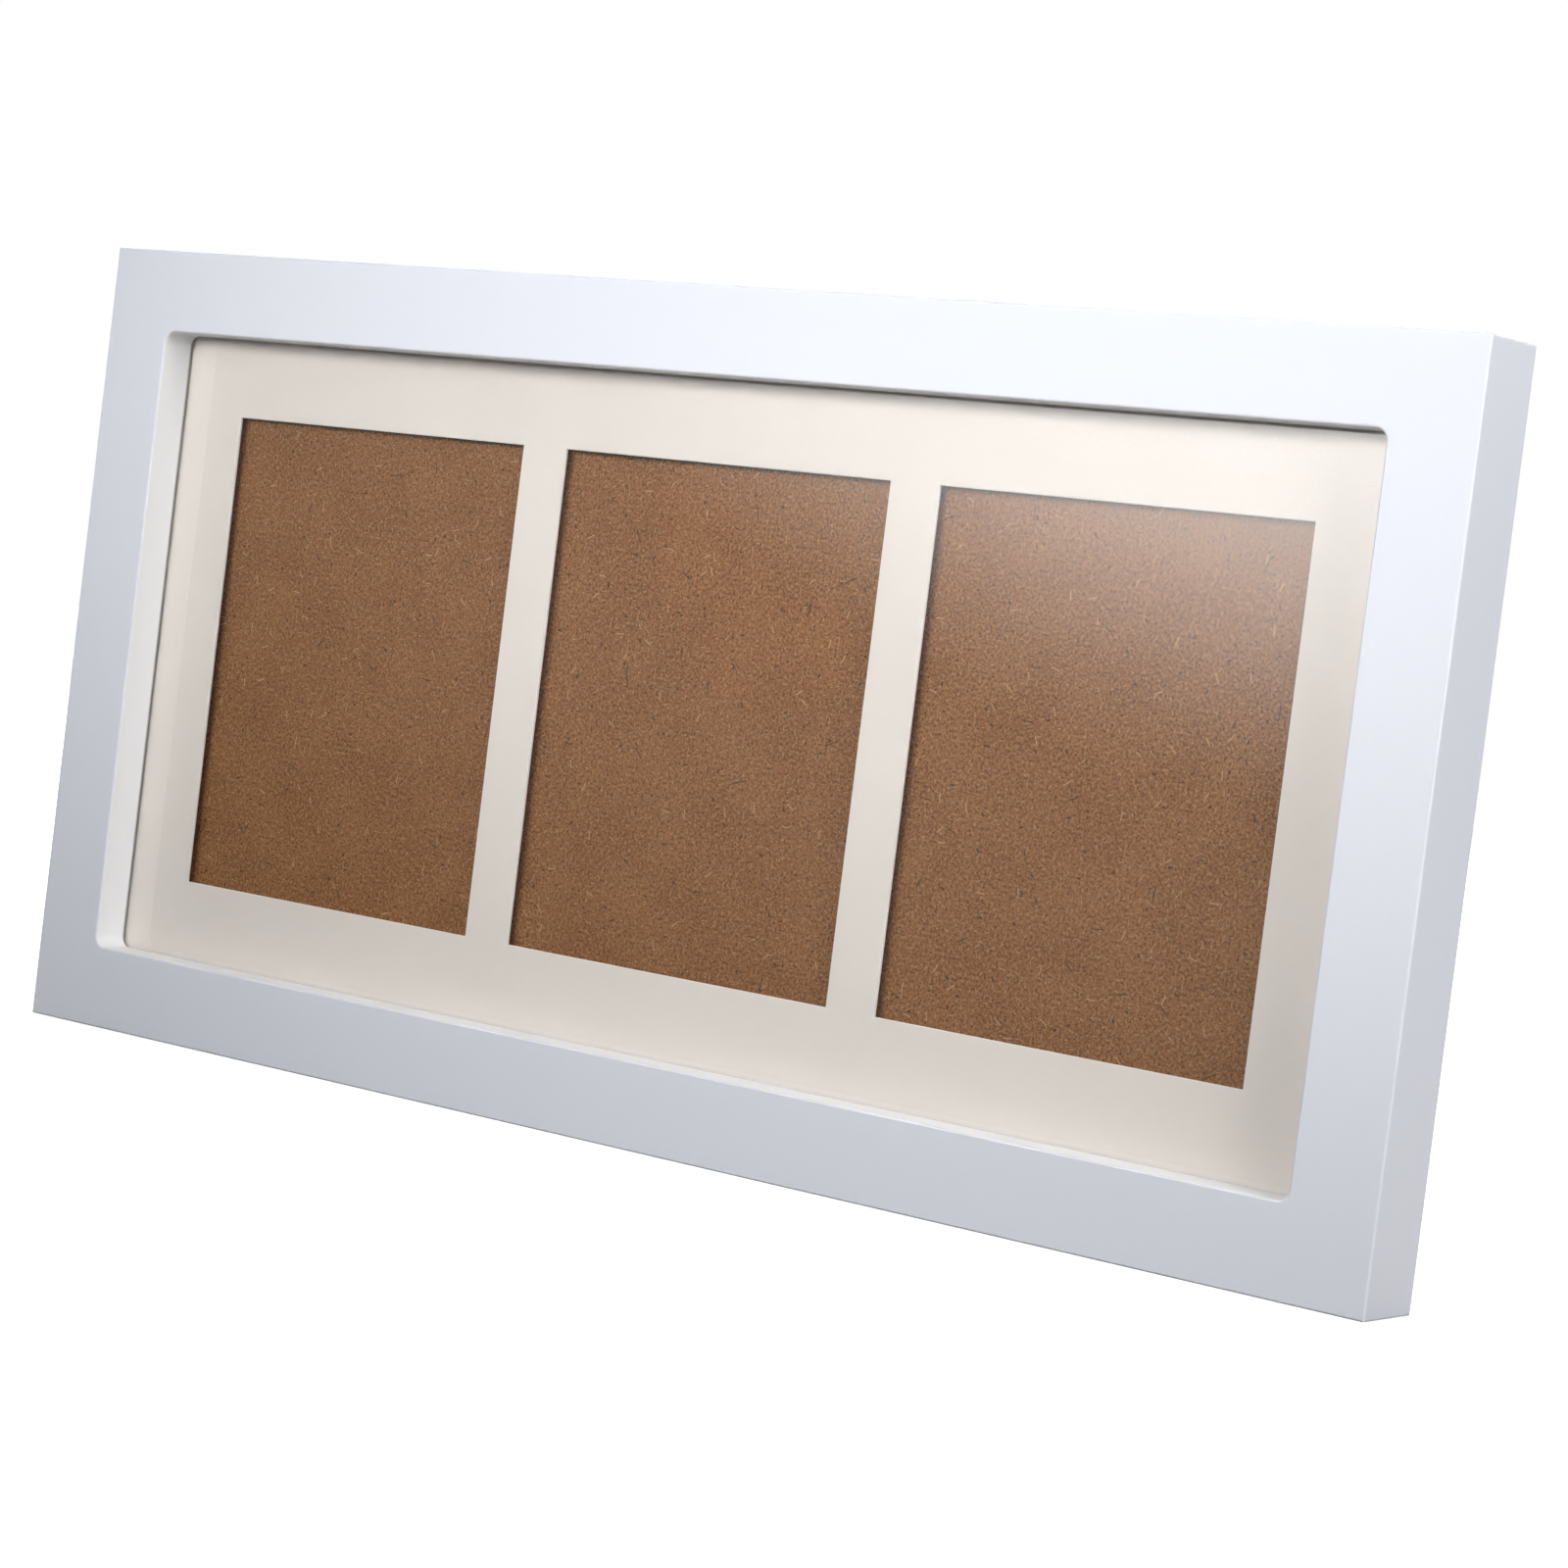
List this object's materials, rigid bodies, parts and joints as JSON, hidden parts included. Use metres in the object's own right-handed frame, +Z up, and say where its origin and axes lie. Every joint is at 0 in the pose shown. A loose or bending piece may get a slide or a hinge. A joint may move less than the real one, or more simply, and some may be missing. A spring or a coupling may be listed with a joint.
{
  "type": "handprint frame",
  "caption": "White frame for handprints: clear pane, mat with portrait windows, MDF back board held by turn buttons, sawtooth hanger, and a hinged strut that stands it on a table.",
  "frame": {"origin": "bottom centre of the whole part, on the table plane, with the frame upright and the strut folded", "axes": "+X to the right as seen from the front, +Y from the front to the back, +Z up"},
  "size_m": [0.3998, 0.0256, 0.2031],
  "materials": {
    "white_paint": "satin white paint on MDF",
    "clear_acrylic": "clear gloss",
    "cream_mat": "matt card, white core",
    "spacer_card": "matt card",
    "mdf": "raw MDF",
    "zinc_steel": "bright zinc plate",
    "brassed_steel": "brass plate"
  },
  "bodies": {
    "frame": {"frame_moulding": "white_paint", "glazing_pane": "clear_acrylic", "mat_board": "cream_mat", "spacer_top": "spacer_card", "spacer_bottom": "spacer_card", "spacer_left": "spacer_card", "spacer_right": "spacer_card", "back_board": "mdf", "button_screws": "zinc_steel", "hinge_board_leaf": "zinc_steel", "hinge_pin": "zinc_steel", "hinge_screws": "zinc_steel", "sawtooth_hanger": "brassed_steel", "hanger_nails": "brassed_steel"},
    "strut": {"easel_strut": "mdf", "hinge_strut_leaf": "zinc_steel", "strut_rivets": "zinc_steel"},
    "button_top_left": {"turn_button_top_left": "zinc_steel"},
    "button_top_right": {"turn_button_top_right": "zinc_steel"},
    "button_bottom_left": {"turn_button_bottom_left": "zinc_steel"},
    "button_bottom_right": {"turn_button_bottom_right": "zinc_steel"},
    "button_left": {"turn_button_left": "zinc_steel"},
    "button_right": {"turn_button_right": "zinc_steel"}
  },
  "joints": [
    {"name": "strut_swing", "type": "hinge", "parent": "frame", "child": "strut", "pos_m": [0, 0.01005, 0.1381], "axis": [1, 0, 0], "range_deg": [0, 22]},
    {"name": "turn_top_left", "type": "hinge", "parent": "frame", "child": "button_top_left", "pos_m": [-0.11, 0.00773, 0.1937], "axis": [0, 1, 0], "range_deg": [-90, 90]},
    {"name": "turn_top_right", "type": "hinge", "parent": "frame", "child": "button_top_right", "pos_m": [0.11, 0.00773, 0.1937], "axis": [0, 1, 0], "range_deg": [-90, 90]},
    {"name": "turn_bottom_left", "type": "hinge", "parent": "frame", "child": "button_bottom_left", "pos_m": [-0.11, 0.00773, 0.0094], "axis": [0, 1, 0], "range_deg": [-90, 90]},
    {"name": "turn_bottom_right", "type": "hinge", "parent": "frame", "child": "button_bottom_right", "pos_m": [0.11, 0.00773, 0.0094], "axis": [0, 1, 0], "range_deg": [-90, 90]},
    {"name": "turn_left", "type": "hinge", "parent": "frame", "child": "button_left", "pos_m": [-0.1905, 0.00773, 0.10155], "axis": [0, 1, 0], "range_deg": [-90, 90]},
    {"name": "turn_right", "type": "hinge", "parent": "frame", "child": "button_right", "pos_m": [0.1905, 0.00773, 0.10155], "axis": [0, 1, 0], "range_deg": [-90, 90]}
  ]
}
